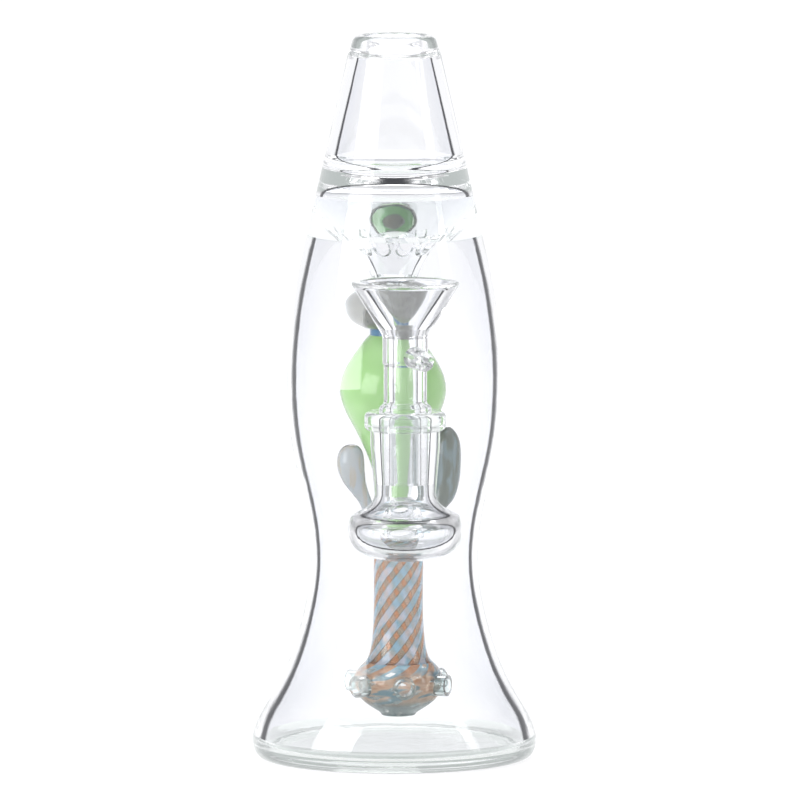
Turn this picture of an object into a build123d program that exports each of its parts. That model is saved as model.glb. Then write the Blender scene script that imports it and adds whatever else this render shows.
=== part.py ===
from build123d import *
import math
import os

# Hand-blown glass water pipe in the outline of a lava lamp.
# Millimetres, +Z up. The origin is the centre of the flat foot it stands on.
# The removable bowl stands in a ground joint in front of the vessel, towards -Y.

os.makedirs("parts", exist_ok=True)

# ---- vessel: heights and outer radii of the blown body ----
TOTAL_HEIGHT = 203.0
BASE_RADIUS = 39.8
FOOT_RADIUS = 35.6
HEEL_HEIGHT = 6.0
FLOOR_THICKNESS = 3.2
FLOOR_RADIUS = 32.2
WAIST_HEIGHT = 56.0
WAIST_RADIUS = 23.5
FLARE_TOP_HEIGHT = 38.0
BULGE_FOOT_HEIGHT = 80.0
BULGE_HEIGHT = 108.5
BULGE_RADIUS = 30.1
CEILING_HEIGHT = 146.7
CEILING_RADIUS = 24.7
DECK_HEIGHT = 158.0
DECK_RADIUS = 22.1
LIP_HEIGHT = 196.6
LIP_RADIUS = 13.3
MOUTH_RADIUS = 8.3
HEEL_WALL = 2.9
WAIST_WALL = 2.2
BULGE_WALL = 1.9
CEILING_WALL = 2.4
LIP_WALL = 3.1
DECK_WALL = 1.6

# ---- splash guard ----
GUARD_TOP_RADIUS = 13.3
GUARD_TIP_RADIUS = 6.5
GUARD_TIP_HEIGHT = 135.4
GUARD_WALL = 1.9
GUARD_MIDDLE_RADIUS = 8.6
GUARD_MIDDLE_HEIGHT = 140.0
GUARD_SLOTS = 10
GUARD_SLOT_WIDTH = 4.7
GUARD_SLOT_FOOT = 142.0
GUARD_FIRST_SLOT = 12.0

# ---- joint line in front of the vessel ----
JOINT_Y = -43.0
SOCKET_TOP = 102.0
COLLAR_FOOT = 96.7
COLLAR_RADIUS = 11.3
COLLAR_ROUND = 1.5
SOCKET_TOP_RADIUS = 9.65
SOCKET_FOOT = 79.0
SOCKET_FOOT_RADIUS = 8.5
TAPER_LENGTH = 20.0
TAPER_TOP_RADIUS = 7.25
TAPER_FOOT_RADIUS = 6.25
TAPER_CLEARANCE = 0.05
BULB_MIDDLE = 68.8
BULB_FOOT = 60.4
BULB_RADIUS = 15.75
BULB_WALL = 2.1
BULB_HEEL = 2.2
BULB_FULLNESS = 0.6
INLET_HEIGHT = 67.5
INLET_RADIUS = 6.2
INLET_BORE = 3.6

# ---- stem and diffuser inside the vessel ----
STEM_X = 0.6
STEM_Y = -7.0
ELBOW_RADIUS = 6.9
ELBOW_WALL = 1.9
STEM_TOP = 57.0
STEM_WAIST_HEIGHT = 43.5
STEM_WAIST_RADIUS = 6.85
POD_TOP = 27.6
POD_TOP_RADIUS = 9.4
POD_MIDDLE = 22.0
POD_RADIUS = 12.5
POD_FOOT = 12.2
POD_WALL = 1.8
NOZZLE_HEIGHT = 21.5
NOZZLE_RADIUS = 3.1
NOZZLE_BORE = 2.1
NOZZLE_REACH = 2.5
NOZZLE_ROOT = 6.0
NOZZLE_ANGLES = {
    "nozzle_front": -87,
    "nozzle_front_right": -29,
    "nozzle_back_right": 31,
    "nozzle_back": 97,
    "nozzle_back_left": 154,
    "nozzle_front_left": 215,
}

# ---- lava shapes ----
LAVA_X = -0.9
LAVA_FOOT = 74.9
TAIL_FOOT = 73.3
TAIL_RADIUS = 4.4
LAVA_MIDDLE = 104.7
LAVA_RADIUS = 14.8
NECK_FOOT = 119.8
NECK_TOP = 121.5
NECK_RADIUS = 6.45
CAP_MIDDLE = 128.0
CAP_TOP = 134.0
CAP_RADIUS = 13.4
CORE_RADIUS = 9.0
CORE_MARGIN = 0.9
DROP_LEFT_X = -12.6
DROP_LEFT_MIDDLE = 83.6
DROP_LEFT_RADIUS = 3.8
DROP_LEFT_HEAD = 5.4
DROP_RIGHT_X = 14.1
DROP_RIGHT_MIDDLE = 84.8
DROP_RIGHT_RADIUS = 3.9
DROP_RIGHT_HEAD = 8.9
DROP_FOOT = 69.0
DROP_FOOT_REACH = 8.4
DROP_FOOT_RADIUS = 1.5
WELD_DROP = 1.9
WELD_BEAD_RADIUS = 2.6

# ---- bowl ----
RIM_HEIGHT = 138.0
RIM_RADIUS = 14.9
RIM_ROUND = 0.9
RIM_INNER_RADIUS = 12.6
RIM_EDGE_BORE = 11.7
CONE_FOOT = 123.5
CONE_FOOT_RADIUS = 6.6
NECK_STEP_HEIGHT = 115.2
NECK_UPPER_RADIUS = 6.3
NECK_LOWER_RADIUS = 6.0
BOWL_BORE = 3.4
FLARE_TOP = 104.8
MALE_BORE = 4.3
HANDLE_HEIGHT = 117.7
HANDLE_ROOT_RADIUS = 3.3
HANDLE_TIP_RADIUS = 2.75
HANDLE_BORE = 1.3
HANDLE_REACH = 12.5
HANDLE_TURN = 22.0
HANDLE_DROP = 4.0

VESSEL_AXIS = Axis.Z
JOINT_AXIS = Axis((0, JOINT_Y, 0), (0, 0, 1))
STEM_AXIS = Axis((STEM_X, STEM_Y, 0), (0, 0, 1))
LAVA_AXIS = Axis((LAVA_X, STEM_Y, 0), (0, 0, 1))
JOINT_PLANE = Plane((0, JOINT_Y, 0), x_dir=(1, 0, 0), z_dir=(0, -1, 0))
STEM_PLANE = Plane((STEM_X, STEM_Y, 0), x_dir=(1, 0, 0), z_dir=(0, -1, 0))
LAVA_PLANE = Plane((LAVA_X, STEM_Y, 0), x_dir=(1, 0, 0), z_dir=(0, -1, 0))


def save(piece, label):
    """Name a finished piece and write it to its own file."""
    piece.part.label = label
    export_step(piece.part, "parts/" + label + ".step")


def tube_from(y_start, y_end, height, radius):
    """A straight solid rod along Y, from y_start to y_end."""
    with BuildPart() as rod:
        with BuildSketch(Plane((0, y_start, height), x_dir=(1, 0, 0), z_dir=(0, 1, 0))):
            Circle(radius)
        extrude(amount=y_end - y_start)
    return rod.part


def wall_radius(height):
    """Straight outer cone of the upper chamber between the deck and the lip."""
    share = (height - DECK_HEIGHT) / (LIP_HEIGHT - DECK_HEIGHT)
    return DECK_RADIUS + share * (LIP_RADIUS - DECK_RADIUS)


# ---- foot: flat underside, rounded heel, floor that rises into the wall ----
with BuildPart() as base_plate:
    with BuildSketch(Plane.XZ):
        with BuildLine():
            Polyline((BASE_RADIUS - HEEL_WALL, HEEL_HEIGHT), (BASE_RADIUS, HEEL_HEIGHT))
            Spline(
                (BASE_RADIUS, HEEL_HEIGHT),
                (FOOT_RADIUS, 0),
                tangents=((0, -1), (-1, 0)),
            )
            Polyline((FOOT_RADIUS, 0), (0, 0), (0, FLOOR_THICKNESS))
            Line((0, FLOOR_THICKNESS), (FLOOR_RADIUS, FLOOR_THICKNESS))
            Spline(
                (FLOOR_RADIUS, FLOOR_THICKNESS),
                (BASE_RADIUS - HEEL_WALL, HEEL_HEIGHT),
                tangents=((1, 0), (0, 1)),
            )
        make_face()
    revolve(axis=VESSEL_AXIS)

# ---- blown wall: flare, waist and bulge, up to the underside of the partition ----
FLARE_STATIONS = ((38.4, 10.6), (34.6, 17.3), (30.3, 25.8), (26.4, 37.6))
BULGE_STATIONS = ((25.2, 71.4), (28.6, 87.0))
with BuildPart() as vessel_solid:
    with BuildSketch(Plane.XZ):
        with BuildLine():
            Spline(
                (BASE_RADIUS, HEEL_HEIGHT),
                *FLARE_STATIONS,
                (WAIST_RADIUS, WAIST_HEIGHT),
                *BULGE_STATIONS,
                (BULGE_RADIUS, BULGE_HEIGHT),
                (28.9, 124.5),
                (CEILING_RADIUS, CEILING_HEIGHT),
            )
            Polyline(
                (CEILING_RADIUS, CEILING_HEIGHT),
                (0, CEILING_HEIGHT),
                (0, HEEL_HEIGHT),
                (BASE_RADIUS, HEEL_HEIGHT),
            )
        make_face()
    revolve(axis=VESSEL_AXIS)
with BuildPart() as vessel_space:
    with BuildSketch(Plane.XZ):
        with BuildLine():
            Spline(
                (BASE_RADIUS - HEEL_WALL, HEEL_HEIGHT),
                (35.5, 10.6),
                (31.8, 17.3),
                (27.7, 25.8),
                (24.0, 37.6),
                (WAIST_RADIUS - WAIST_WALL, WAIST_HEIGHT),
                (23.1, 71.4),
                (26.6, 87.0),
                (BULGE_RADIUS - BULGE_WALL, BULGE_HEIGHT),
                (26.9, 124.5),
                (CEILING_RADIUS - CEILING_WALL, CEILING_HEIGHT),
            )
            Polyline(
                (CEILING_RADIUS - CEILING_WALL, CEILING_HEIGHT),
                (0, CEILING_HEIGHT),
                (0, HEEL_HEIGHT),
                (BASE_RADIUS - HEEL_WALL, HEEL_HEIGHT),
            )
        make_face()
    revolve(axis=VESSEL_AXIS)
inlet_bore = tube_from(JOINT_Y, STEM_Y, INLET_HEIGHT, INLET_BORE)
with BuildPart() as vessel_shell:
    add(vessel_solid.part)
    add(vessel_space.part, mode=Mode.SUBTRACT)
    add(inlet_bore, mode=Mode.SUBTRACT)
with BuildPart() as foot_flare:
    add(vessel_shell.part)
    split(bisect_by=Plane.XY.offset(FLARE_TOP_HEIGHT), keep=Keep.BOTTOM)
with BuildPart() as vessel_waist:
    add(vessel_shell.part)
    split(bisect_by=Plane.XY.offset(FLARE_TOP_HEIGHT), keep=Keep.TOP)
    split(bisect_by=Plane.XY.offset(BULGE_FOOT_HEIGHT), keep=Keep.BOTTOM)
with BuildPart() as vessel_bulge:
    add(vessel_shell.part)
    split(bisect_by=Plane.XY.offset(BULGE_FOOT_HEIGHT), keep=Keep.TOP)

# ---- partition: thick ring whose upper face slopes into the guard ----
with BuildPart() as shoulder_ring:
    with BuildSketch(Plane.XZ):
        with BuildLine():
            Line((GUARD_TOP_RADIUS, CEILING_HEIGHT), (CEILING_RADIUS, CEILING_HEIGHT))
            Line((CEILING_RADIUS, CEILING_HEIGHT), (DECK_RADIUS, DECK_HEIGHT))
            Line((DECK_RADIUS, DECK_HEIGHT), (DECK_RADIUS - DECK_WALL, DECK_HEIGHT))
            Spline(
                (DECK_RADIUS - DECK_WALL, DECK_HEIGHT),
                (15.6, 152.4),
                (GUARD_TOP_RADIUS - GUARD_WALL, CEILING_HEIGHT),
                tangents=((-0.5, -0.6), (-0.5, -0.9)),
            )
            Line((GUARD_TOP_RADIUS - GUARD_WALL, CEILING_HEIGHT), (GUARD_TOP_RADIUS, CEILING_HEIGHT))
        make_face()
    revolve(axis=VESSEL_AXIS)

# ---- splash guard: a funnel open at its tip, with ribs between U-shaped slots ----
SLOT_ROUND_HEIGHT = GUARD_SLOT_FOOT + GUARD_SLOT_WIDTH / 2
with BuildPart() as guard_shell:
    with BuildSketch(Plane.XZ):
        with BuildLine():
            Spline(
                (GUARD_TOP_RADIUS, CEILING_HEIGHT),
                (GUARD_MIDDLE_RADIUS, GUARD_MIDDLE_HEIGHT),
                (GUARD_TIP_RADIUS, GUARD_TIP_HEIGHT),
            )
            Line(
                (GUARD_TIP_RADIUS, GUARD_TIP_HEIGHT),
                (GUARD_TIP_RADIUS - GUARD_WALL, GUARD_TIP_HEIGHT),
            )
            Spline(
                (GUARD_TIP_RADIUS - GUARD_WALL, GUARD_TIP_HEIGHT),
                (GUARD_MIDDLE_RADIUS - GUARD_WALL, GUARD_MIDDLE_HEIGHT),
                (GUARD_TOP_RADIUS - GUARD_WALL, CEILING_HEIGHT),
            )
            Line((GUARD_TOP_RADIUS - GUARD_WALL, CEILING_HEIGHT), (GUARD_TOP_RADIUS, CEILING_HEIGHT))
        make_face()
    revolve(axis=VESSEL_AXIS)
    for slot in range(GUARD_SLOTS):
        slot_turn = GUARD_FIRST_SLOT + 360 / GUARD_SLOTS * slot
        with BuildSketch(Plane.XZ.rotated((0, 0, slot_turn))):
            with Locations((0, SLOT_ROUND_HEIGHT)):
                Circle(GUARD_SLOT_WIDTH / 2)
                Rectangle(
                    GUARD_SLOT_WIDTH,
                    CEILING_HEIGHT - SLOT_ROUND_HEIGHT,
                    align=(Align.CENTER, Align.MIN),
                )
        extrude(amount=GUARD_TOP_RADIUS, mode=Mode.SUBTRACT)
with BuildPart() as splash_funnel:
    add(guard_shell.part)
    split(bisect_by=Plane.XY.offset(SLOT_ROUND_HEIGHT), keep=Keep.BOTTOM)
with BuildPart() as splash_ribs:
    add(guard_shell.part)
    split(bisect_by=Plane.XY.offset(SLOT_ROUND_HEIGHT), keep=Keep.TOP)

# ---- upper chamber, with the weld bead that stands in from its wall ----
BEAD_HEIGHT = 165.6
BEAD_RADIUS = 15.0
BEAD_TOP = 169.5
CHAMBER_WALL = 3.0
with BuildPart() as mouthpiece_cone:
    with BuildSketch(Plane.XZ):
        with BuildLine():
            Line((DECK_RADIUS - DECK_WALL, DECK_HEIGHT), (DECK_RADIUS, DECK_HEIGHT))
            Line((DECK_RADIUS, DECK_HEIGHT), (LIP_RADIUS, LIP_HEIGHT))
            Line((LIP_RADIUS, LIP_HEIGHT), (LIP_RADIUS - LIP_WALL, LIP_HEIGHT))
            Line((LIP_RADIUS - LIP_WALL, LIP_HEIGHT), (wall_radius(BEAD_TOP) - CHAMBER_WALL, BEAD_TOP))
            Spline(
                (wall_radius(BEAD_TOP) - CHAMBER_WALL, BEAD_TOP),
                (BEAD_RADIUS, BEAD_HEIGHT),
                (DECK_RADIUS - DECK_WALL, DECK_HEIGHT),
                tangents=((0.1, -1), (0.2, -1)),
            )
        make_face()
    revolve(axis=VESSEL_AXIS)

# ---- rounded mouth ----
THROAT_LENGTH = 3.0
THROAT_TOP = TOTAL_HEIGHT - 1.5
with BuildPart() as mouthpiece_lip:
    with BuildSketch(Plane.XZ):
        with BuildLine():
            Line((LIP_RADIUS - LIP_WALL, LIP_HEIGHT), (LIP_RADIUS, LIP_HEIGHT))
            Spline(
                (LIP_RADIUS, LIP_HEIGHT),
                (12.1, 200.2),
                (9.7, TOTAL_HEIGHT),
                tangents=((-0.23, 1), (-1, 0)),
            )
            Spline(
                (9.7, TOTAL_HEIGHT),
                (MOUTH_RADIUS, THROAT_TOP),
                tangents=((-1, 0), (0, -1)),
            )
            Line((MOUTH_RADIUS, THROAT_TOP), (MOUTH_RADIUS, THROAT_TOP - THROAT_LENGTH))
            Spline(
                (MOUTH_RADIUS, THROAT_TOP - THROAT_LENGTH),
                (LIP_RADIUS - LIP_WALL, LIP_HEIGHT),
                tangents=((0, -1), (0.6, -1)),
            )
        make_face()
    revolve(axis=VESSEL_AXIS)

# ---- inlet bulb: flattened hollow bulb under the socket ----
with BuildPart() as bulb_solid:
    with BuildSketch(JOINT_PLANE):
        with BuildLine():
            Line((0, SOCKET_FOOT), (SOCKET_FOOT_RADIUS, SOCKET_FOOT))
            Spline(
                (SOCKET_FOOT_RADIUS, SOCKET_FOOT),
                (9.6, 76.4),
                (12.6, 74.3),
                (BULB_RADIUS, BULB_MIDDLE),
                tangents=((0.1, -1), (0, -1)),
            )
            Bezier(
                (BULB_RADIUS, BULB_MIDDLE),
                (BULB_RADIUS, BULB_FOOT + BULB_HEEL),
                (BULB_RADIUS * BULB_FULLNESS, BULB_FOOT),
                (0, BULB_FOOT),
            )
            Line((0, BULB_FOOT), (0, SOCKET_FOOT))
        make_face()
    revolve(axis=JOINT_AXIS)
with BuildPart() as bulb_space:
    with BuildSketch(JOINT_PLANE):
        with BuildLine():
            Line((0, SOCKET_FOOT), (SOCKET_FOOT_RADIUS - BULB_WALL, SOCKET_FOOT))
            Spline(
                (SOCKET_FOOT_RADIUS - BULB_WALL, SOCKET_FOOT),
                (7.6, 75.6),
                (10.8, 72.6),
                (BULB_RADIUS - BULB_WALL, BULB_MIDDLE),
                tangents=((0.1, -1), (0, -1)),
            )
            Bezier(
                (BULB_RADIUS - BULB_WALL, BULB_MIDDLE),
                (BULB_RADIUS - BULB_WALL, BULB_FOOT + BULB_WALL + BULB_HEEL),
                ((BULB_RADIUS - BULB_WALL) * BULB_FULLNESS, BULB_FOOT + BULB_WALL),
                (0, BULB_FOOT + BULB_WALL),
            )
            Line((0, BULB_FOOT + BULB_WALL), (0, SOCKET_FOOT))
        make_face()
    revolve(axis=JOINT_AXIS)
with BuildPart() as inlet_bulb:
    add(bulb_solid.part)
    add(bulb_space.part, mode=Mode.SUBTRACT)
    add(inlet_bore, mode=Mode.SUBTRACT)

# ---- short tube that joins the bulb to the vessel ----
inlet_rod = tube_from(JOINT_Y + BULB_RADIUS - 5.0, -WAIST_RADIUS, INLET_HEIGHT, INLET_RADIUS)
with BuildPart() as inlet_weld:
    add(inlet_rod)
    add(inlet_bulb.part, mode=Mode.SUBTRACT)
    add(bulb_space.part, mode=Mode.SUBTRACT)
    add(vessel_solid.part, mode=Mode.SUBTRACT)
    add(inlet_bore, mode=Mode.SUBTRACT)

# ---- ground socket, a 1 in 10 taper, with a wider bore under it ----
TAPER_FOOT = SOCKET_TOP - TAPER_LENGTH
with BuildPart() as joint_socket:
    with BuildSketch(JOINT_PLANE):
        with BuildLine():
            Polyline(
                (SOCKET_FOOT_RADIUS - BULB_WALL, SOCKET_FOOT),
                (SOCKET_FOOT_RADIUS, SOCKET_FOOT),
                (SOCKET_TOP_RADIUS, COLLAR_FOOT - 4.0),
                (SOCKET_TOP_RADIUS, SOCKET_TOP),
                (TAPER_TOP_RADIUS + TAPER_CLEARANCE, SOCKET_TOP),
                (TAPER_FOOT_RADIUS + TAPER_CLEARANCE, TAPER_FOOT),
                (SOCKET_FOOT_RADIUS - BULB_WALL, SOCKET_FOOT),
            )
        make_face()
    revolve(axis=JOINT_AXIS)

# ---- rounded collar round the top of the socket ----
with BuildPart() as socket_collar:
    with BuildSketch(JOINT_PLANE):
        with Locations(((SOCKET_TOP_RADIUS + COLLAR_RADIUS) / 2, (SOCKET_TOP + COLLAR_FOOT) / 2)):
            Rectangle(COLLAR_RADIUS - SOCKET_TOP_RADIUS, SOCKET_TOP - COLLAR_FOOT)
    revolve(axis=JOINT_AXIS)
    outer_rims = socket_collar.edges().filter_by(GeomType.CIRCLE).group_by(SortBy.RADIUS)[-1]
    fillet(outer_rims, radius=COLLAR_ROUND)

# ---- inner elbow: side tube from the wall to the domed top of the stem ----
DOME_HEIGHT = LAVA_FOOT - ELBOW_RADIUS
SIDE_TUBE_RADIUS = INLET_BORE + ELBOW_WALL
with BuildPart() as elbow_outside:
    with BuildSketch(STEM_PLANE):
        with BuildLine():
            Polyline((0, STEM_TOP), (ELBOW_RADIUS, STEM_TOP), (ELBOW_RADIUS, DOME_HEIGHT))
            Spline(
                (ELBOW_RADIUS, DOME_HEIGHT),
                (ELBOW_RADIUS * 0.71, DOME_HEIGHT + ELBOW_RADIUS * 0.71),
                (0, LAVA_FOOT),
                tangents=((0, 1), (-1, 0)),
            )
            Line((0, LAVA_FOOT), (0, STEM_TOP))
        make_face()
    revolve(axis=STEM_AXIS)
    add(tube_from(-WAIST_RADIUS - 3, STEM_Y, INLET_HEIGHT, SIDE_TUBE_RADIUS))
with BuildPart() as stem_elbow:
    add(elbow_outside.part)
    add(vessel_space.part, mode=Mode.INTERSECT)
    with BuildSketch(Plane((STEM_X, STEM_Y, STEM_TOP))):
        Circle(ELBOW_RADIUS - ELBOW_WALL)
    extrude(amount=DOME_HEIGHT - STEM_TOP, mode=Mode.SUBTRACT)
    with Locations((STEM_X, STEM_Y, DOME_HEIGHT)):
        Sphere(ELBOW_RADIUS - ELBOW_WALL, mode=Mode.SUBTRACT)
    add(inlet_bore, mode=Mode.SUBTRACT)

# ---- striped stem: straight, then flaring towards the pod ----
with BuildPart() as stem_tube:
    with BuildSketch(STEM_PLANE):
        with BuildLine():
            Line((ELBOW_RADIUS - ELBOW_WALL, STEM_TOP), (ELBOW_RADIUS, STEM_TOP))
            Spline(
                (ELBOW_RADIUS, STEM_TOP),
                (STEM_WAIST_RADIUS, STEM_WAIST_HEIGHT),
                (7.35, 34.0),
                (POD_TOP_RADIUS, POD_TOP),
                tangents=((0, -1), (0.72, -0.6)),
            )
            Line((POD_TOP_RADIUS, POD_TOP), (POD_TOP_RADIUS - POD_WALL, POD_TOP))
            Spline(
                (POD_TOP_RADIUS - POD_WALL, POD_TOP),
                (7.35 - 1.85, 34.0),
                (STEM_WAIST_RADIUS - 1.9, STEM_WAIST_HEIGHT),
                (ELBOW_RADIUS - ELBOW_WALL, STEM_TOP),
                tangents=((-0.72, 0.6), (0, 1)),
            )
        make_face()
    revolve(axis=STEM_AXIS)

# ---- nozzles: short clear rings set through the wall of the pod ----
with BuildPart() as pod_solid:
    with BuildSketch(STEM_PLANE):
        with BuildLine():
            Line((0, POD_TOP), (POD_TOP_RADIUS, POD_TOP))
            Spline(
                (POD_TOP_RADIUS, POD_TOP),
                (POD_RADIUS, POD_MIDDLE),
                (9.4, 16.0),
                (5.0, 13.0),
                (0, POD_FOOT),
                tangents=((0.72, -0.6), (-1, 0)),
            )
            Line((0, POD_FOOT), (0, POD_TOP))
        make_face()
    revolve(axis=STEM_AXIS)
with BuildPart() as pod_space:
    with BuildSketch(STEM_PLANE):
        with BuildLine():
            Line((0, POD_TOP), (POD_TOP_RADIUS - POD_WALL, POD_TOP))
            Spline(
                (POD_TOP_RADIUS - POD_WALL, POD_TOP),
                (POD_RADIUS - POD_WALL, POD_MIDDLE),
                (8.2, 17.4),
                (4.4, 14.7),
                (0, POD_FOOT + POD_WALL),
                tangents=((0.72, -0.6), (-1, 0)),
            )
            Line((0, POD_FOOT + POD_WALL), (0, POD_TOP))
        make_face()
    revolve(axis=STEM_AXIS)


def nozzle_rod(angle, radius):
    """Rod along a radius of the stem at the height of the nozzles."""
    outward = Vector(math.cos(math.radians(angle)), math.sin(math.radians(angle)), 0)
    centre = Vector(STEM_X, STEM_Y, NOZZLE_HEIGHT)
    with BuildPart() as rod:
        with BuildSketch(Plane(centre + outward * NOZZLE_ROOT, z_dir=outward)):
            Circle(radius)
        extrude(amount=POD_RADIUS + NOZZLE_REACH - NOZZLE_ROOT)
    return rod.part


nozzles = {}
for name, angle in NOZZLE_ANGLES.items():
    with BuildPart() as nozzle:
        add(nozzle_rod(angle, NOZZLE_RADIUS))
        add(pod_space.part, mode=Mode.SUBTRACT)
        add(nozzle_rod(angle, NOZZLE_BORE), mode=Mode.SUBTRACT)
    nozzles[name] = nozzle

with BuildPart() as diffuser_pod:
    add(pod_solid.part)
    add(pod_space.part, mode=Mode.SUBTRACT)
    for angle in NOZZLE_ANGLES.values():
        add(nozzle_rod(angle, NOZZLE_RADIUS), mode=Mode.SUBTRACT)

# ---- lava: green body, blue band, milky cap with a speckled core ----
with BuildPart() as lava_blob:
    with BuildSketch(LAVA_PLANE):
        with BuildLine():
            Line((0, TAIL_FOOT), (TAIL_RADIUS, TAIL_FOOT))
            Spline(
                (TAIL_RADIUS, TAIL_FOOT),
                (5.7, 81.8),
                (10.4, 92.8),
                (LAVA_RADIUS, LAVA_MIDDLE),
                (11.0, 114.2),
                (NECK_RADIUS, NECK_FOOT),
            )
            Polyline((NECK_RADIUS, NECK_FOOT), (0, NECK_FOOT), (0, TAIL_FOOT))
        make_face()
    revolve(axis=LAVA_AXIS)
    add(elbow_outside.part, mode=Mode.SUBTRACT)

with BuildPart() as lava_neck_band:
    with BuildSketch(Plane((LAVA_X, STEM_Y, NECK_FOOT))):
        Circle(NECK_RADIUS)
    extrude(amount=NECK_TOP - NECK_FOOT)

with BuildPart() as core_solid:
    with BuildSketch(LAVA_PLANE):
        with BuildLine():
            Line((0, NECK_TOP + CORE_MARGIN), (5.6, NECK_TOP + CORE_MARGIN))
            Spline(
                (5.6, NECK_TOP + CORE_MARGIN),
                (CORE_RADIUS, CAP_MIDDLE - 0.6),
                (5.8, CAP_MIDDLE + 3.4),
                (0, CAP_TOP - 1.8),
                tangents=((0.8, 0.6), (-1, 0)),
            )
            Line((0, CAP_TOP - 1.8), (0, NECK_TOP + CORE_MARGIN))
        make_face()
    revolve(axis=LAVA_AXIS)
with BuildPart() as lava_cap_core:
    add(core_solid.part)

with BuildPart() as lava_cap:
    with BuildSketch(LAVA_PLANE):
        with BuildLine():
            Line((0, NECK_TOP), (NECK_RADIUS, NECK_TOP))
            Spline(
                (NECK_RADIUS, NECK_TOP),
                (CAP_RADIUS - 1.7, CAP_MIDDLE - 4.2),
                (CAP_RADIUS, CAP_MIDDLE),
                (8.8, CAP_TOP - 1.2),
                (4.3, CAP_TOP - 0.25),
                (0, CAP_TOP),
                tangents=((1, 0.15), (-1, 0)),
            )
            Line((0, CAP_TOP), (0, NECK_TOP))
        make_face()
    revolve(axis=LAVA_AXIS)
    add(core_solid.part, mode=Mode.SUBTRACT)


def lava_drop(centre_x, centre_z, radius, head, lean, fullness):
    """A drop with a round head on a tail that comes in to the elbow.

    lean is how far out the tail already is at its middle, fullness how thick it is there.
    """
    side = math.copysign(1, centre_x)
    foot = Vector(STEM_X + side * DROP_FOOT_REACH, STEM_Y, DROP_FOOT)
    shoulder = Vector(centre_x, STEM_Y, centre_z)
    tip = Vector(centre_x, STEM_Y, centre_z + head)
    tail = Vector(
        foot.X + (shoulder.X - foot.X) * lean,
        STEM_Y,
        foot.Z + (shoulder.Z - foot.Z) * 0.42,
    )
    stations = (
        (foot, DROP_FOOT_RADIUS),
        (tail, radius * fullness),
        (shoulder, radius),
        (shoulder + (tip - shoulder) * 0.62, radius * 0.86),
        (tip, radius * 0.22),
    )
    with BuildPart() as drop:
        for place, size in stations:
            with BuildSketch(Plane(place)):
                Circle(size)
        loft()
    return drop


lava_drop_left = lava_drop(
    DROP_LEFT_X, DROP_LEFT_MIDDLE, DROP_LEFT_RADIUS, DROP_LEFT_HEAD, lean=0.42, fullness=0.62
)
lava_drop_right = lava_drop(
    DROP_RIGHT_X, DROP_RIGHT_MIDDLE, DROP_RIGHT_RADIUS, DROP_RIGHT_HEAD, lean=0.85, fullness=0.88
)

# ---- clear bits that hold the two drops to the elbow ----
drop_welds = {}
for name, side in (("drop_weld_left", -1), ("drop_weld_right", 1)):
    with BuildPart() as weld:
        with Locations((STEM_X + side * DROP_FOOT_REACH, STEM_Y, DROP_FOOT - WELD_DROP)):
            Sphere(WELD_BEAD_RADIUS)
        add(elbow_outside.part, mode=Mode.SUBTRACT)
        add(lava_drop_left.part, mode=Mode.SUBTRACT)
        add(lava_drop_right.part, mode=Mode.SUBTRACT)
    drop_welds[name] = weld

# ---- bowl cone: thick funnel with a rounded rim ----
with BuildPart() as bowl_cone:
    with BuildSketch(JOINT_PLANE):
        with BuildLine():
            Polyline(
                (BOWL_BORE, CONE_FOOT),
                (CONE_FOOT_RADIUS, CONE_FOOT),
                (RIM_RADIUS, RIM_HEIGHT - RIM_ROUND),
            )
            Spline(
                (RIM_RADIUS, RIM_HEIGHT - RIM_ROUND),
                (RIM_RADIUS - RIM_ROUND, RIM_HEIGHT),
                tangents=((0.2, 1), (-1, 0)),
            )
            Line((RIM_RADIUS - RIM_ROUND, RIM_HEIGHT), (RIM_INNER_RADIUS, RIM_HEIGHT))
            Spline(
                (RIM_INNER_RADIUS, RIM_HEIGHT),
                (RIM_EDGE_BORE, RIM_HEIGHT - RIM_ROUND),
                tangents=((-1, 0), (-0.5, -0.9)),
            )
            Polyline(
                (RIM_EDGE_BORE, RIM_HEIGHT - RIM_ROUND),
                (BOWL_BORE + 0.6, CONE_FOOT + 2.4),
                (BOWL_BORE, CONE_FOOT),
            )
        make_face()
    revolve(axis=JOINT_AXIS)

# ---- bowl neck: thick tube with a small step ----
handle_plane = Plane((0, JOINT_Y, HANDLE_HEIGHT), z_dir=(
    math.sin(math.radians(HANDLE_TURN)) * math.cos(math.radians(HANDLE_DROP)),
    -math.cos(math.radians(HANDLE_TURN)) * math.cos(math.radians(HANDLE_DROP)),
    -math.sin(math.radians(HANDLE_DROP)),
))
with BuildPart() as neck_solid:
    with BuildSketch(JOINT_PLANE):
        with BuildLine():
            Polyline(
                (0, FLARE_TOP),
                (NECK_LOWER_RADIUS, FLARE_TOP),
                (NECK_LOWER_RADIUS, NECK_STEP_HEIGHT - 0.5),
                (NECK_UPPER_RADIUS, NECK_STEP_HEIGHT),
                (NECK_UPPER_RADIUS, CONE_FOOT - 1.0),
                (CONE_FOOT_RADIUS, CONE_FOOT),
                (0, CONE_FOOT),
                (0, FLARE_TOP),
            )
        make_face()
    revolve(axis=JOINT_AXIS)
with BuildPart() as bowl_neck:
    add(neck_solid.part)
    with BuildSketch(Plane((0, JOINT_Y, FLARE_TOP))):
        Circle(BOWL_BORE)
    extrude(amount=CONE_FOOT - FLARE_TOP, mode=Mode.SUBTRACT)
    with BuildSketch(handle_plane):
        Circle(HANDLE_BORE)
    extrude(amount=HANDLE_REACH, mode=Mode.SUBTRACT)

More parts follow.
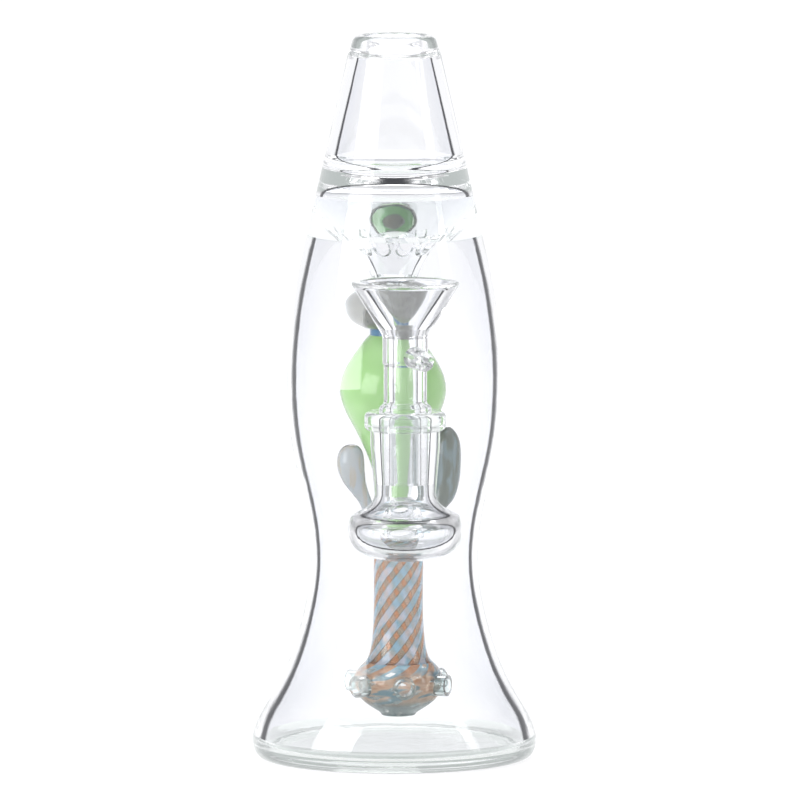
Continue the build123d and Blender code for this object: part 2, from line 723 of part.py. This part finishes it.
# ---- handle: short open tube that carries to the side ----
with BuildPart() as bowl_handle:
    with BuildSketch(handle_plane.offset(4.0)):
        Circle(HANDLE_ROOT_RADIUS)
    with BuildSketch(handle_plane.offset(HANDLE_REACH)):
        Circle(HANDLE_TIP_RADIUS)
    loft()
    add(neck_solid.part, mode=Mode.SUBTRACT)
    with BuildSketch(handle_plane):
        Circle(HANDLE_BORE)
    extrude(amount=HANDLE_REACH, mode=Mode.SUBTRACT)

# ---- flared step between neck and ground joint ----
with BuildPart() as bowl_shoulder:
    with BuildSketch(JOINT_PLANE):
        with BuildLine():
            Polyline(
                (MALE_BORE, SOCKET_TOP),
                (TAPER_TOP_RADIUS, SOCKET_TOP),
                (TAPER_TOP_RADIUS, SOCKET_TOP + 0.8),
            )
            Spline(
                (TAPER_TOP_RADIUS, SOCKET_TOP + 0.8),
                (NECK_LOWER_RADIUS, FLARE_TOP),
                tangents=((0, 1), (0, 1)),
            )
            Polyline((NECK_LOWER_RADIUS, FLARE_TOP), (BOWL_BORE, FLARE_TOP), (MALE_BORE, SOCKET_TOP))
        make_face()
    revolve(axis=JOINT_AXIS)

# ---- ground male joint, a 1 in 10 taper ----
with BuildPart() as bowl_male_joint:
    with BuildSketch(JOINT_PLANE):
        with BuildLine():
            Polyline(
                (MALE_BORE, SOCKET_TOP),
                (TAPER_TOP_RADIUS, SOCKET_TOP),
                (TAPER_FOOT_RADIUS, TAPER_FOOT),
                (MALE_BORE, TAPER_FOOT),
                (MALE_BORE, SOCKET_TOP),
            )
        make_face()
    revolve(axis=JOINT_AXIS)

PIECES = {
    "base_plate": base_plate,
    "foot_flare": foot_flare,
    "vessel_waist": vessel_waist,
    "vessel_bulge": vessel_bulge,
    "shoulder_ring": shoulder_ring,
    "splash_funnel": splash_funnel,
    "splash_ribs": splash_ribs,
    "mouthpiece_cone": mouthpiece_cone,
    "mouthpiece_lip": mouthpiece_lip,
    "inlet_weld": inlet_weld,
    "inlet_bulb": inlet_bulb,
    "joint_socket": joint_socket,
    "socket_collar": socket_collar,
    "stem_elbow": stem_elbow,
    "stem_tube": stem_tube,
    "diffuser_pod": diffuser_pod,
    **nozzles,
    "lava_blob": lava_blob,
    "lava_neck_band": lava_neck_band,
    "lava_cap": lava_cap,
    "lava_cap_core": lava_cap_core,
    "lava_drop_left": lava_drop_left,
    "lava_drop_right": lava_drop_right,
    **drop_welds,
    "bowl_cone": bowl_cone,
    "bowl_neck": bowl_neck,
    "bowl_shoulder": bowl_shoulder,
    "bowl_male_joint": bowl_male_joint,
    "bowl_handle": bowl_handle,
}
for label, piece in PIECES.items():
    save(piece, label)
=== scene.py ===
import math

import bpy
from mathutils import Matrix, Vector


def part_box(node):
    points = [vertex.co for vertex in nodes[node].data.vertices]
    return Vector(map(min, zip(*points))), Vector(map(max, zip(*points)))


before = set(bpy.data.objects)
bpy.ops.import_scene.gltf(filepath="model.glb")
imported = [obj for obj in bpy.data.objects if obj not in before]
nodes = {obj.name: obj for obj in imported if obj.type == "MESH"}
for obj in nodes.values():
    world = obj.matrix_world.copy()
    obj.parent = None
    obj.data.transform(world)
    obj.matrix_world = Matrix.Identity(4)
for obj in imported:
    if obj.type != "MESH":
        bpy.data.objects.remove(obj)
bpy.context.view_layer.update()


def middle(name):
    """Centre of a CAD node's box."""
    low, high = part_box(name)
    return (low + high) / 2


def foot_of(name):
    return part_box(name)[0].z


def top_of(name):
    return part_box(name)[1].z


STEM = middle("stem_tube")
JOINT = middle("joint_socket")
INLET_HEIGHT = middle("inlet_weld").z
WELD_RADIUS = (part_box("inlet_weld")[1].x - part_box("inlet_weld")[0].x) / 2
WELD_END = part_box("inlet_weld")[1].y
MM = 0.001
SIDE_TUBE_RADIUS = WELD_RADIUS - 0.7 * MM

# ---- camera: long lens, a little to the left of the front and slightly above ----
CAMERA_AZIMUTH = math.radians(-4)
CAMERA_ELEVATION = math.radians(6)
CAMERA_DISTANCE = 3.5
CAMERA_LENS = 563
AIM = Vector((1.54 * MM, 0, 100.6 * MM))
back = Vector((
    math.sin(CAMERA_AZIMUTH) * math.cos(CAMERA_ELEVATION),
    -math.cos(CAMERA_AZIMUTH) * math.cos(CAMERA_ELEVATION),
    math.sin(CAMERA_ELEVATION),
))
camera_data = bpy.data.cameras.new("camera")
camera_data.lens = CAMERA_LENS
camera_data.sensor_width = 36
camera_data.clip_end = 20
camera = bpy.data.objects.new("camera", camera_data)
camera.location = AIM + back * CAMERA_DISTANCE
camera.rotation_euler = back.to_track_quat("Z", "Y").to_euler()
bpy.context.scene.collection.objects.link(camera)
bpy.context.scene.camera = camera


# ---- small helpers for node trees ----
class Tree:
    """A node tree with short ways to add maths."""

    def __init__(self, tree):
        self.tree = tree
        tree.nodes.clear()

    def add(self, kind, inputs=None, **settings):
        made = self.tree.nodes.new(kind)
        for key, value in settings.items():
            setattr(made, key, value)
        for key, value in (inputs or {}).items():
            self.feed(made.inputs[key], value)
        return made

    def feed(self, socket, value):
        if isinstance(value, bpy.types.NodeSocket):
            self.tree.links.new(value, socket)
        elif isinstance(value, tuple) and len(value) == 3 and len(socket.default_value) == 4:
            socket.default_value = (*value, 1)
        else:
            socket.default_value = value

    def maths(self, operation, *values):
        made = self.add("ShaderNodeMath", operation=operation)
        for socket, value in zip(made.inputs, values):
            self.feed(socket, value)
        return made.outputs[0]

    def smooth_step(self, value, low, high):
        """0 below low, 1 above high."""
        made = self.add("ShaderNodeMapRange", {0: value, 1: low, 2: high}, interpolation_type="SMOOTHSTEP")
        return made.outputs[0]

    def band(self, value, start, full, fade, end):
        """1 between full and fade, and 0 outside start and end."""
        return self.maths("MULTIPLY", self.smooth_step(value, start, full), self.smooth_step(value, end, fade))

    def blend(self, share, first, second):
        made = self.add("ShaderNodeMix", data_type="RGBA")
        self.feed(made.inputs[0], share)
        self.feed(made.inputs[6], first)
        self.feed(made.inputs[7], second)
        return made.outputs[2]

    def noise(self, place, scale, detail=3.0, distortion=0.0):
        made = self.add(
            "ShaderNodeTexNoise",
            {"Vector": place, "Scale": scale, "Detail": detail, "Distortion": distortion},
        )
        return made.outputs[0]

    def place(self):
        """Position in the row frame, and its three parts."""
        whole = self.add("ShaderNodeTexCoord").outputs["Object"]
        parts = self.add("ShaderNodeSeparateXYZ", {0: whole})
        return whole, parts.outputs[0], parts.outputs[1], parts.outputs[2]

    def length(self, across, along):
        """Length of a flat vector."""
        squares = [self.maths("MULTIPLY", part, part) for part in (across, along)]
        return self.maths("SQRT", self.maths("ADD", *squares))

    def angle_about(self, x, y, axis):
        """Angle round an upright axis, as a share of a turn."""
        turn = self.maths("ARCTAN2", self.maths("SUBTRACT", y, axis.y), self.maths("SUBTRACT", x, axis.x))
        return self.maths("DIVIDE", turn, 2 * math.pi)


def linear(red, green, blue):
    """Scene colour of a screen colour given as 0 to 255."""
    return tuple(
        (c / 255 / 12.92) if c / 255 <= 0.04045 else ((c / 255 + 0.055) / 1.055) ** 2.4
        for c in (red, green, blue)
    )


def new_material(name):
    made = bpy.data.materials.new(name)
    made.use_nodes = True
    return made, Tree(made.node_tree)


# painted light: after this many hits a ray ends in a pale emission
TRAPPED_AFTER = 10
PAINTED_TRAPPED_LIGHT = (0.50, 0.54, 0.53)


def close_material(tree, surface, light_share=0.85):
    """Ends the tree. Shadow rays pass, and light trapped in thick glass ends as a painted pale glow, an
    emission that stands in for light.
    """
    rays = tree.add("ShaderNodeLightPath")
    trapped = tree.maths("GREATER_THAN", rays.outputs["Ray Depth"], float(TRAPPED_AFTER))
    # painted light: pale emission where trapped rays end
    glow = tree.add("ShaderNodeEmission", {"Color": PAINTED_TRAPPED_LIGHT})
    surface = tree.add("ShaderNodeMixShader", {0: trapped, 1: surface, 2: glow.outputs[0]}).outputs[0]
    passing = tree.maths("MAXIMUM", rays.outputs["Is Shadow Ray"], rays.outputs["Is Diffuse Ray"])
    clear = tree.add("ShaderNodeBsdfTransparent", {"Color": (light_share, light_share, light_share)})
    both = tree.add("ShaderNodeMixShader", {0: passing, 1: surface, 2: clear.outputs[0]})
    tree.add("ShaderNodeOutputMaterial", {"Surface": both.outputs[0]})


def inside_mask(tree, seams, discs, sleeve):
    """1 on faces that lie inside fused glass.

    seams are level faces, discs are round patches where tubes meet,
    and sleeve is the upright face between the socket and its collar.
    """
    _, x, y, z = tree.place()
    normal = tree.add("ShaderNodeNewGeometry").outputs["True Normal"]
    slope = tree.add("ShaderNodeSeparateXYZ", {0: normal})
    level = tree.maths("GREATER_THAN", tree.maths("ABSOLUTE", slope.outputs[2]), 0.98)
    mask = 0.0
    for height in seams:
        here = tree.maths("MULTIPLY", tree.maths("COMPARE", z, height, 0.03 * MM), level)
        mask = tree.maths("MAXIMUM", mask, here)
    for radius, y_low, y_high in discs:
        up = tree.maths("SUBTRACT", z, INLET_HEIGHT)
        reach = tree.length(x, up)
        here = tree.maths("LESS_THAN", reach, radius)
        here = tree.maths("MULTIPLY", here, tree.maths("GREATER_THAN", y, y_low))
        here = tree.maths("MULTIPLY", here, tree.maths("LESS_THAN", y, y_high))
        facing = tree.maths("GREATER_THAN", tree.maths("ABSOLUTE", slope.outputs[1]), 0.5)
        mask = tree.maths("MAXIMUM", mask, tree.maths("MULTIPLY", here, facing))
    if sleeve:
        radius, z_low, z_high = sleeve
        out = tree.maths("SUBTRACT", y, JOINT.y)
        reach = tree.length(x, out)
        here = tree.maths("COMPARE", reach, radius, 0.12 * MM)
        here = tree.maths("MULTIPLY", here, tree.maths("GREATER_THAN", z, z_low))
        here = tree.maths("MULTIPLY", here, tree.maths("LESS_THAN", z, z_high))
        upright = tree.maths("LESS_THAN", tree.maths("ABSOLUTE", slope.outputs[2]), 0.3)
        mask = tree.maths("MAXIMUM", mask, tree.maths("MULTIPLY", here, upright))
    return mask


def own_normal(tree):
    """The way a face looks, and 1 where the ray meets it from behind."""
    geometry = tree.add("ShaderNodeNewGeometry")
    behind = geometry.outputs["Backfacing"]
    sign = tree.maths("MULTIPLY_ADD", behind, -2.0, 1.0)
    normal = geometry.outputs["True Normal"]
    own = tree.add("ShaderNodeVectorMath", {0: normal, 3: sign}, operation="SCALE")
    return own.outputs["Vector"], behind


def on_inner_wall(tree, axis):
    """1 on faces that look towards an upright axis."""
    _, x, y, _ = tree.place()
    flat = tree.add("ShaderNodeCombineXYZ", {
        0: tree.maths("SUBTRACT", x, axis.x), 1: tree.maths("SUBTRACT", y, axis.y),
    }).outputs[0]
    normal, _ = own_normal(tree)
    outward = tree.add("ShaderNodeVectorMath", {0: flat, 1: normal}, operation="DOT_PRODUCT").outputs["Value"]
    return tree.maths("LESS_THAN", outward, 0.0)


def inner_limb(tree, axis):
    """Painted dark line where the inner wall starts to mirror, as blown glass shows, and a painted haze of
    shade inside it, both chosen by viewing angle.
    """
    _, behind = own_normal(tree)
    wall = on_inner_wall(tree, axis)
    facing = tree.add("ShaderNodeLayerWeight", {"Blend": 0.5}).outputs["Facing"]
    band = tree.band(facing, LINE_START, LINE_FULL, LINE_FADE, LINE_END)
    hits = tree.add("ShaderNodeLightPath").outputs["Ray Depth"]
    wall = tree.maths("MULTIPLY", wall, tree.maths("LESS_THAN", hits, LIMB_HITS))
    # painted shade: dark line on the inner wall, seen from inside the glass
    line = tree.maths("MULTIPLY", tree.maths("MULTIPLY", wall, behind), band)
    from_air = tree.maths("MULTIPLY", wall, tree.maths("SUBTRACT", 1.0, behind))
    # painted shade: grey-lavender tint on the inner wall, seen from the air
    milky_haze_and_painted_shade = tree.maths("MULTIPLY", from_air, tree.smooth_step(facing, PAINTED_WALL_SHADE_FROM, PAINTED_WALL_SHADE_TO))
    return line, milky_haze_and_painted_shade


GLASS_INDEX = 1.47
CLEAR = (0.972, 0.976, 0.984)
THICK = linear(244, 248, 246)
# painted shade: grey-lavender tint on the inner wall, by viewing angle
PAINTED_WALL_SHADE_FROM = 0.12
PAINTED_WALL_SHADE_TO = 0.84
PAINTED_WALL_SHADE = (0.70, 0.72, 0.79)
# painted shade: dark emission line at the inner limb, by viewing angle
LINE_START = 0.246
LINE_FULL = 0.258
LINE_FADE = 0.268
LINE_END = 0.288
LIMB_DARK = (0.06, 0.062, 0.07)
LIMB_HITS = 3.5
VESSEL = Vector((0, 0, 0))
# painted shade: grey band inside the outer edge, by viewing angle
EDGE_DARK = (0.16, 0.165, 0.18)
EDGE_START = 0.46
EDGE_FULL = 0.58
EDGE_FADE = 0.70
EDGE_END = 0.82


def edge_band(tree):
    """Painted grey shade in a band just inside the outer edge, where thick glass bends the view to the side.
    """
    facing = tree.add("ShaderNodeLayerWeight", {"Blend": 0.5}).outputs["Facing"]
    _, behind = own_normal(tree)
    band = tree.band(facing, EDGE_START, EDGE_FULL, EDGE_FADE, EDGE_END)
    return tree.maths("MULTIPLY", band, tree.maths("SUBTRACT", 1.0, behind))


def clear_glass(
    name, tint=CLEAR, seams=(), discs=(), sleeve=None, axis=VESSEL, ripple=0.25, edge=0.0,
):
    """Hand-blown clear glass: faint ripples, a trace of colour, a painted dark line and painted shade along
    its inner limb, and an optional painted grey band at its outer edge.
    """
    made, tree = new_material(name)
    whole, _, _, _ = tree.place()
    drift = tree.noise(whole, 55.0, detail=2.0)
    colour = tree.blend(tree.smooth_step(drift, 0.35, 0.75), tint, tuple(c * 0.985 for c in tint))
    waves = tree.noise(whole, 90.0, detail=1.0, distortion=0.6)
    bump = tree.add("ShaderNodeBump", {"Strength": ripple, "Distance": 0.15 * MM, "Height": waves})
    if axis:
        # painted shade: limb line and tint on the inner wall
        line, milky_haze_and_painted_shade = inner_limb(tree, axis)
        colour = tree.blend(milky_haze_and_painted_shade, colour, PAINTED_WALL_SHADE)
    # painted shade: grey band inside the outer edge
    if edge:
        colour = tree.blend(tree.maths("MULTIPLY", edge_band(tree), edge), colour, EDGE_DARK)
    surface = tree.add("ShaderNodeBsdfPrincipled", {
        "Base Color": colour,
        "Roughness": 0.0,
        "IOR": GLASS_INDEX,
        "Transmission Weight": 1.0,
        "Normal": bump.outputs[0],
    }).outputs[0]
    if axis:
        # painted shade: the limb line is drawn as a dark emission
        dark = tree.add("ShaderNodeEmission", {"Color": LIMB_DARK})
        surface = tree.add("ShaderNodeMixShader", {0: line, 1: surface, 2: dark.outputs[0]}).outputs[0]
    if seams or discs or sleeve:
        through = tree.add("ShaderNodeBsdfTransparent", {"Color": (1.0, 1.0, 1.0)})
        surface = tree.add("ShaderNodeMixShader", {
            0: inside_mask(tree, seams, discs, sleeve), 1: surface, 2: through.outputs[0],
        }).outputs[0]
    close_material(tree, surface)
    return made


def dress(name, material):
    """Gives a CAD node this material on all its faces."""
    slots = nodes[name].data.materials
    slots.clear()
    slots.append(material)


# ---- clear glass pieces ----
def ends(name, bottom=True, top=True):
    """Heights of the level faces by which a piece is fused to its neighbours."""
    return [foot_of(name)] * bottom + [top_of(name)] * top


SLEEVE = (
    (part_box("joint_socket")[1].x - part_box("joint_socket")[0].x) / 2,
    foot_of("socket_collar") + 0.02 * MM,
    top_of("socket_collar") - 0.02 * MM,
)
dress("base_plate", clear_glass(
    "base_glass", THICK, ends("base_plate", bottom=False), ripple=0.2, axis=None, edge=0.45,
))
dress("foot_flare", clear_glass("flare_glass", seams=ends("foot_flare")))
dress("vessel_waist", clear_glass(
    "waist_glass",
    seams=ends("vessel_waist"),
    discs=[
        (WELD_RADIUS, WELD_END - 3 * MM, WELD_END + 0.5 * MM),
        (SIDE_TUBE_RADIUS, WELD_END + 0.5 * MM, WELD_END + 4 * MM),
    ],
))
dress("vessel_bulge", clear_glass("bulge_glass", seams=ends("vessel_bulge")))
dress("shoulder_ring", clear_glass("ring_glass", THICK, ends("shoulder_ring"), ripple=0.6, axis=None))
dress("splash_funnel", clear_glass("funnel_glass", seams=ends("splash_funnel", bottom=False), ripple=0.5))
dress("splash_ribs", clear_glass("rib_glass", seams=ends("splash_ribs"), axis=None))
dress("mouthpiece_cone", clear_glass("cone_glass", seams=ends("mouthpiece_cone"), ripple=0.35))
dress("mouthpiece_lip", clear_glass(
    "lip_glass", seams=ends("mouthpiece_lip", top=False), axis=None, edge=0.6,
))
dress("inlet_weld", clear_glass("weld_glass", discs=[(WELD_RADIUS * 1.02, -1.0, 0.0)], axis=None))
dress("inlet_bulb", clear_glass(
    "bulb_glass", seams=ends("inlet_bulb", bottom=False), axis=JOINT, edge=0.6,
    discs=[(WELD_RADIUS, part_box("inlet_weld")[0].y - 0.5 * MM, WELD_END - 1 * MM)],
))
dress("joint_socket", clear_glass(
    "socket_glass", seams=ends("joint_socket", top=False), sleeve=SLEEVE, axis=JOINT, edge=0.5,
))
dress("socket_collar", clear_glass("collar_glass", THICK, sleeve=SLEEVE, axis=None))
dress("stem_elbow", clear_glass(
    "elbow_glass", seams=ends("stem_elbow", top=False), axis=STEM,
    discs=[(SIDE_TUBE_RADIUS, WELD_END, WELD_END + 4 * MM)],
))
weld_glass = clear_glass("drop_weld_glass", linear(215, 232, 240), axis=None)
for side in ("left", "right"):
    dress("drop_weld_" + side, weld_glass)
nozzle_glass = clear_glass("nozzle_clear", linear(226, 234, 234), axis=None, edge=0.9)
for side in ("front", "front_right", "back_right", "back", "back_left", "front_left"):
    dress("nozzle_" + side, nozzle_glass)
dress("bowl_cone", clear_glass("bowl_cone_glass", seams=ends("bowl_cone", top=False), axis=JOINT, edge=0.7))
dress("bowl_neck", clear_glass("bowl_neck_glass", seams=ends("bowl_neck"), axis=JOINT, edge=0.9))
dress("bowl_shoulder", clear_glass("bowl_shoulder_glass", seams=ends("bowl_shoulder"), axis=JOINT))
dress("bowl_male_joint", clear_glass(
    "bowl_joint_glass", seams=ends("bowl_male_joint", bottom=False), axis=JOINT,
))
dress("bowl_handle", clear_glass("handle_glass", ripple=0.4, axis=None, edge=0.7))


# ---- striped stem: one set of canes twisted round the tube ----
def coloured_glass(tree, colour, density, roughness=0.05, glow=0.0):
    """Coloured glass: density is how much light it scatters instead of passing."""
    passing = tree.maths("SUBTRACT", 1.0, density)
    return tree.add("ShaderNodeBsdfPrincipled", {
        "Base Color": colour,
        "Roughness": roughness,
        "IOR": GLASS_INDEX,
        "Transmission Weight": passing,
        "Subsurface Weight": glow,
        "Subsurface Radius": (2 * MM, 2 * MM, 2 * MM),
        "Subsurface Scale": 1.0,
        "Coat Weight": 0.35,
        "Coat Roughness": 0.03,
    }).outputs[0]


CANE_COUNT = 9
CANE_SHARE = 0.58
STEM_TWIST = -16.0
CANE = linear(204, 208, 220)
CANE_DEEP = linear(140, 186, 206)
AMBER = linear(190, 134, 92)

striped, tree = new_material("striped_stem")
whole, x, y, z = tree.place()
turn = tree.angle_about(x, y, STEM)
wobble = tree.maths("MULTIPLY", tree.noise(whole, 120.0), 0.3)
lean = tree.maths("MULTIPLY", z, STEM_TWIST / MM / 100)
phase = tree.maths("ADD", tree.maths("MULTIPLY", turn, float(CANE_COUNT)), lean)
stripe = tree.maths("PINGPONG", tree.maths("ADD", phase, wobble), 0.5)
edge_at = 0.5 - CANE_SHARE / 2
cane = tree.smooth_step(stripe, edge_at - 0.02, edge_at + 0.02)
from_edge = tree.maths("ABSOLUTE", tree.maths("SUBTRACT", stripe, edge_at))
rim = tree.maths("SUBTRACT", 1.0, tree.smooth_step(from_edge, 0.015, 0.05))
cane_colour = tree.blend(tree.smooth_step(tree.noise(whole, 260.0), 0.4, 0.6), CANE, CANE_DEEP)
colour = tree.blend(cane, AMBER, cane_colour)
colour = tree.blend(tree.maths("MULTIPLY", rim, 0.8), colour, linear(110, 96, 84))
skin = tree.maths("SUBTRACT", 1.0, on_inner_wall(tree, STEM))
colour = tree.blend(skin, (1.0, 1.0, 1.0), colour)
density = tree.maths("MULTIPLY", skin, tree.maths("ADD", tree.maths("MULTIPLY", cane, 0.26), 0.12))
close_material(tree, coloured_glass(tree, colour, density))
dress("stem_tube", striped)

# ---- pod: the same canes drawn out into a flat swirl, with clear windows ----
swirled, tree = new_material("swirled_pod")
_, x, y, z = tree.place()
turn = tree.angle_about(x, y, STEM)
low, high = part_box("diffuser_pod")
rise = tree.maths("DIVIDE", tree.maths("SUBTRACT", z, low.z), high.z - low.z)
around = tree.maths("MULTIPLY", turn, 2 * math.pi)
half_turn = tree.maths("ABSOLUTE", turn)
drawn = tree.add("ShaderNodeCombineXYZ", {
    0: tree.maths("SINE", around),
    1: tree.maths("COSINE", around),
    2: tree.maths("ADD", tree.maths("MULTIPLY", rise, 5.0), tree.maths("MULTIPLY", half_turn, 2.0)),
}).outputs[0]
swirl = tree.noise(drawn, 1.3, detail=4.0, distortion=0.5)
phase = tree.maths("ADD", tree.maths("MULTIPLY", turn, float(CANE_COUNT)), tree.maths("MULTIPLY", rise, -3.4))
stripe = tree.maths("PINGPONG", phase, 0.5)
slope = tree.maths("ADD", tree.maths("MULTIPLY", rise, 4.0), tree.maths("MULTIPLY", turn, 3.0))
ring = tree.maths("PINGPONG", slope, 0.5)
window = tree.maths(
    "MULTIPLY", tree.smooth_step(stripe, 0.34, 0.40), tree.smooth_step(ring, 0.30, 0.36),
)
copper = linear(208, 176, 148)
amber_brown = linear(190, 146, 112)
teal = linear(110, 146, 158)
colour = tree.blend(tree.smooth_step(swirl, 0.38, 0.5), amber_brown, copper)
colour = tree.blend(tree.smooth_step(swirl, 0.51, 0.60), colour, teal)
canes = tree.blend(tree.smooth_step(stripe, 0.20, 0.26), AMBER, CANE_DEEP)
colour = tree.blend(tree.smooth_step(rise, 0.74, 0.98), colour, canes)
colour = tree.blend(tree.smooth_step(rise, 0.42, 0.16), colour, linear(84, 112, 112))
colour = tree.blend(window, colour, linear(238, 240, 236))
skin = tree.maths("SUBTRACT", 1.0, on_inner_wall(tree, STEM))
colour = tree.blend(skin, (1.0, 1.0, 1.0), colour)
density = tree.maths("MULTIPLY", skin, tree.maths("SUBTRACT", 0.55, tree.maths("MULTIPLY", window, 0.5)))
close_material(tree, coloured_glass(tree, colour, density))
dress("diffuser_pod", swirled)

# ---- lava ----
GREEN_DENSITY = 0.78
BLUE_DENSITY = 0.6
CORE_DENSITY = 0.95

green, tree = new_material("green_lava")
whole, _, _, _ = tree.place()
cloud = tree.noise(whole, 70.0, detail=4.0, distortion=0.4)
colour = tree.blend(tree.smooth_step(cloud, 0.35, 0.7), linear(186, 240, 156), linear(172, 226, 142))
# painted shade: darker green towards the limb, by viewing angle
limb = tree.add("ShaderNodeLayerWeight", {"Blend": 0.5}).outputs["Facing"]
colour = tree.blend(tree.smooth_step(limb, 0.6, 1.0), colour, linear(140, 184, 112))
surface = coloured_glass(tree, colour, GREEN_DENSITY, roughness=0.12, glow=0.25)
close_material(tree, surface, 0.35)
dress("lava_blob", green)

blue, tree = new_material("blue_band")
whole, _, _, _ = tree.place()
colour = tree.blend(tree.noise(whole, 400.0), linear(34, 112, 164), linear(60, 150, 196))
close_material(tree, coloured_glass(tree, colour, BLUE_DENSITY), 0.4)
dress("lava_neck_band", blue)

milky, tree = new_material("milky_cap")
whole, _, _, _ = tree.place()
milky_haze_and_painted_shade = tree.noise(whole, 130.0, detail=5.0, distortion=0.8)
colour = tree.blend(milky_haze_and_painted_shade, linear(214, 224, 230), linear(188, 202, 212))
density = tree.maths("ADD", tree.maths("MULTIPLY", milky_haze_and_painted_shade, 0.16), 0.03)
surface = coloured_glass(tree, colour, density)
through = tree.add("ShaderNodeBsdfTransparent", {"Color": (1.0, 1.0, 1.0)})
seat = on_inner_wall(tree, middle("lava_cap"))
surface = tree.add("ShaderNodeMixShader", {0: seat, 1: surface, 2: through.outputs[0]}).outputs[0]
close_material(tree, surface, 0.6)
dress("lava_cap", milky)
seated = nodes["lava_cap_core"].modifiers.new("seated", "DISPLACE")
seated.strength = -0.05 * MM
seated.mid_level = 0.0

speckled, tree = new_material("speckled_core")
whole, _, _, _ = tree.place()
grain = tree.add("ShaderNodeTexVoronoi", {"Vector": whole, "Scale": 900.0}).outputs["Distance"]
cloud = tree.noise(whole, 220.0, detail=6.0)
colour = tree.blend(tree.smooth_step(cloud, 0.35, 0.65), linear(182, 176, 150), linear(150, 140, 112))
colour = tree.blend(tree.smooth_step(grain, 0.32, 0.18), colour, linear(86, 78, 62))
close_material(tree, coloured_glass(tree, colour, CORE_DENSITY, roughness=0.3), 0.2)
dress("lava_cap_core", speckled)


def smoke_drop(name, material_name, light, dark, streak, density):
    """Drop of smoky glass with streaks along its length and painted shade darkening its limb."""
    made, tree = new_material(material_name)
    whole, _, _, _ = tree.place()
    long_way = tree.add("ShaderNodeMapping", {"Vector": whole, "Scale": (1.0, 1.0, 0.22)}).outputs[0]
    strands = tree.noise(long_way, 420.0, detail=2.0, distortion=0.3)
    colour = tree.blend(tree.smooth_step(strands, 0.45, 0.62), light, streak)
    # painted shade: darker colour towards the limb, by viewing angle
    limb = tree.add("ShaderNodeLayerWeight", {"Blend": 0.5}).outputs["Facing"]
    colour = tree.blend(tree.smooth_step(limb, 0.55, 0.95), colour, dark)
    close_material(tree, coloured_glass(tree, colour, density), 0.5)
    dress(name, made)


smoke_drop(
    "lava_drop_left", "pale_smoke",
    light=linear(200, 210, 216), dark=linear(140, 145, 146), streak=linear(206, 200, 186), density=0.45,
)
smoke_drop(
    "lava_drop_right", "dark_smoke",
    light=linear(116, 126, 116), dark=linear(74, 78, 70), streak=linear(136, 158, 162), density=0.7,
)

# ---- floor: pale, white away from the soft contact shadow ----
FLOOR_SIZE = 6.0
floor_mesh = bpy.data.meshes.new("floor")
half = FLOOR_SIZE / 2
corners = [(-half, -half, 0), (half, -half, 0), (half, half, 0), (-half, half, 0)]
floor_mesh.from_pydata(corners, [], [(0, 1, 2, 3)])
floor = bpy.data.objects.new("floor", floor_mesh)
floor.location.z = -0.02 * MM
bpy.context.scene.collection.objects.link(floor)
floor_material, tree = new_material("floor")
matt = tree.add("ShaderNodeBsdfDiffuse", {"Color": (0.42, 0.42, 0.43)})
lit = tree.add("ShaderNodeEmission", {"Color": (1.0, 1.0, 1.0), "Strength": 0.66})
both = tree.add("ShaderNodeAddShader", {0: matt.outputs[0], 1: lit.outputs[0]})
tree.add("ShaderNodeOutputMaterial", {"Surface": both.outputs[0]})
floor.data.materials.append(floor_material)

# ---- world: white behind the object; a grey ring above it gives the glass its contrast ----
world = bpy.data.worlds.new("studio")
bpy.context.scene.world = world
world.use_nodes = True
tree = Tree(world.node_tree)
direction = tree.add("ShaderNodeTexCoord").outputs["Generated"]
up = tree.add("ShaderNodeSeparateXYZ", {0: direction}).outputs[2]
sky = tree.add("ShaderNodeValToRGB", {0: tree.maths("MULTIPLY_ADD", up, 0.5, 0.5)})
levels = ((0.0, 1.0), (0.56, 1.0), (0.66, 0.6), (0.82, 0.5), (0.92, 1.5))
ramp = sky.color_ramp.elements
ramp.remove(ramp[1])
ramp[0].position = levels[0][0]
ramp[0].color = (levels[0][1],) * 3 + (1,)
for at, level in levels[1:]:
    ramp.new(at).color = (level, level, level * 1.02, 1)
seen = tree.add("ShaderNodeLightPath").outputs["Is Camera Ray"]
colour = tree.blend(seen, sky.outputs[0], (1.0, 1.0, 1.0))
background = tree.add("ShaderNodeBackground", {"Color": colour, "Strength": 1.0})
tree.add("ShaderNodeOutputWorld", {"Surface": background.outputs[0]})


# ---- softboxes ----
def softbox(name, azimuth, elevation, distance, width, height, brightness):
    """Rectangular light that looks at the middle of the object."""
    turn, rise = math.radians(azimuth), math.radians(elevation)
    away = Vector((math.sin(turn) * math.cos(rise), -math.cos(turn) * math.cos(rise), math.sin(rise)))
    data = bpy.data.lights.new(name, "AREA")
    data.shape = "RECTANGLE"
    data.size, data.size_y = width, height
    data.energy = brightness * math.pi * width * height
    light = bpy.data.objects.new(name, data)
    light.location = AIM + away * distance
    light.rotation_euler = away.to_track_quat("Z", "Y").to_euler()
    bpy.context.scene.collection.objects.link(light)


softbox("key_light", -57, 16, 0.65, 0.42, 0.5, 4.2)
softbox("fill_light", 64, 18, 0.75, 0.12, 0.5, 3.0)
softbox("back_light", 170, 35, 1.4, 0.6, 0.4, 2.5)

bpy.context.scene.view_settings.view_transform = "Standard"
cycles = bpy.context.scene.cycles
BOUNCES = 28
cycles.max_bounces = BOUNCES
cycles.transmission_bounces = BOUNCES
cycles.glossy_bounces = BOUNCES
cycles.transparent_max_bounces = 32
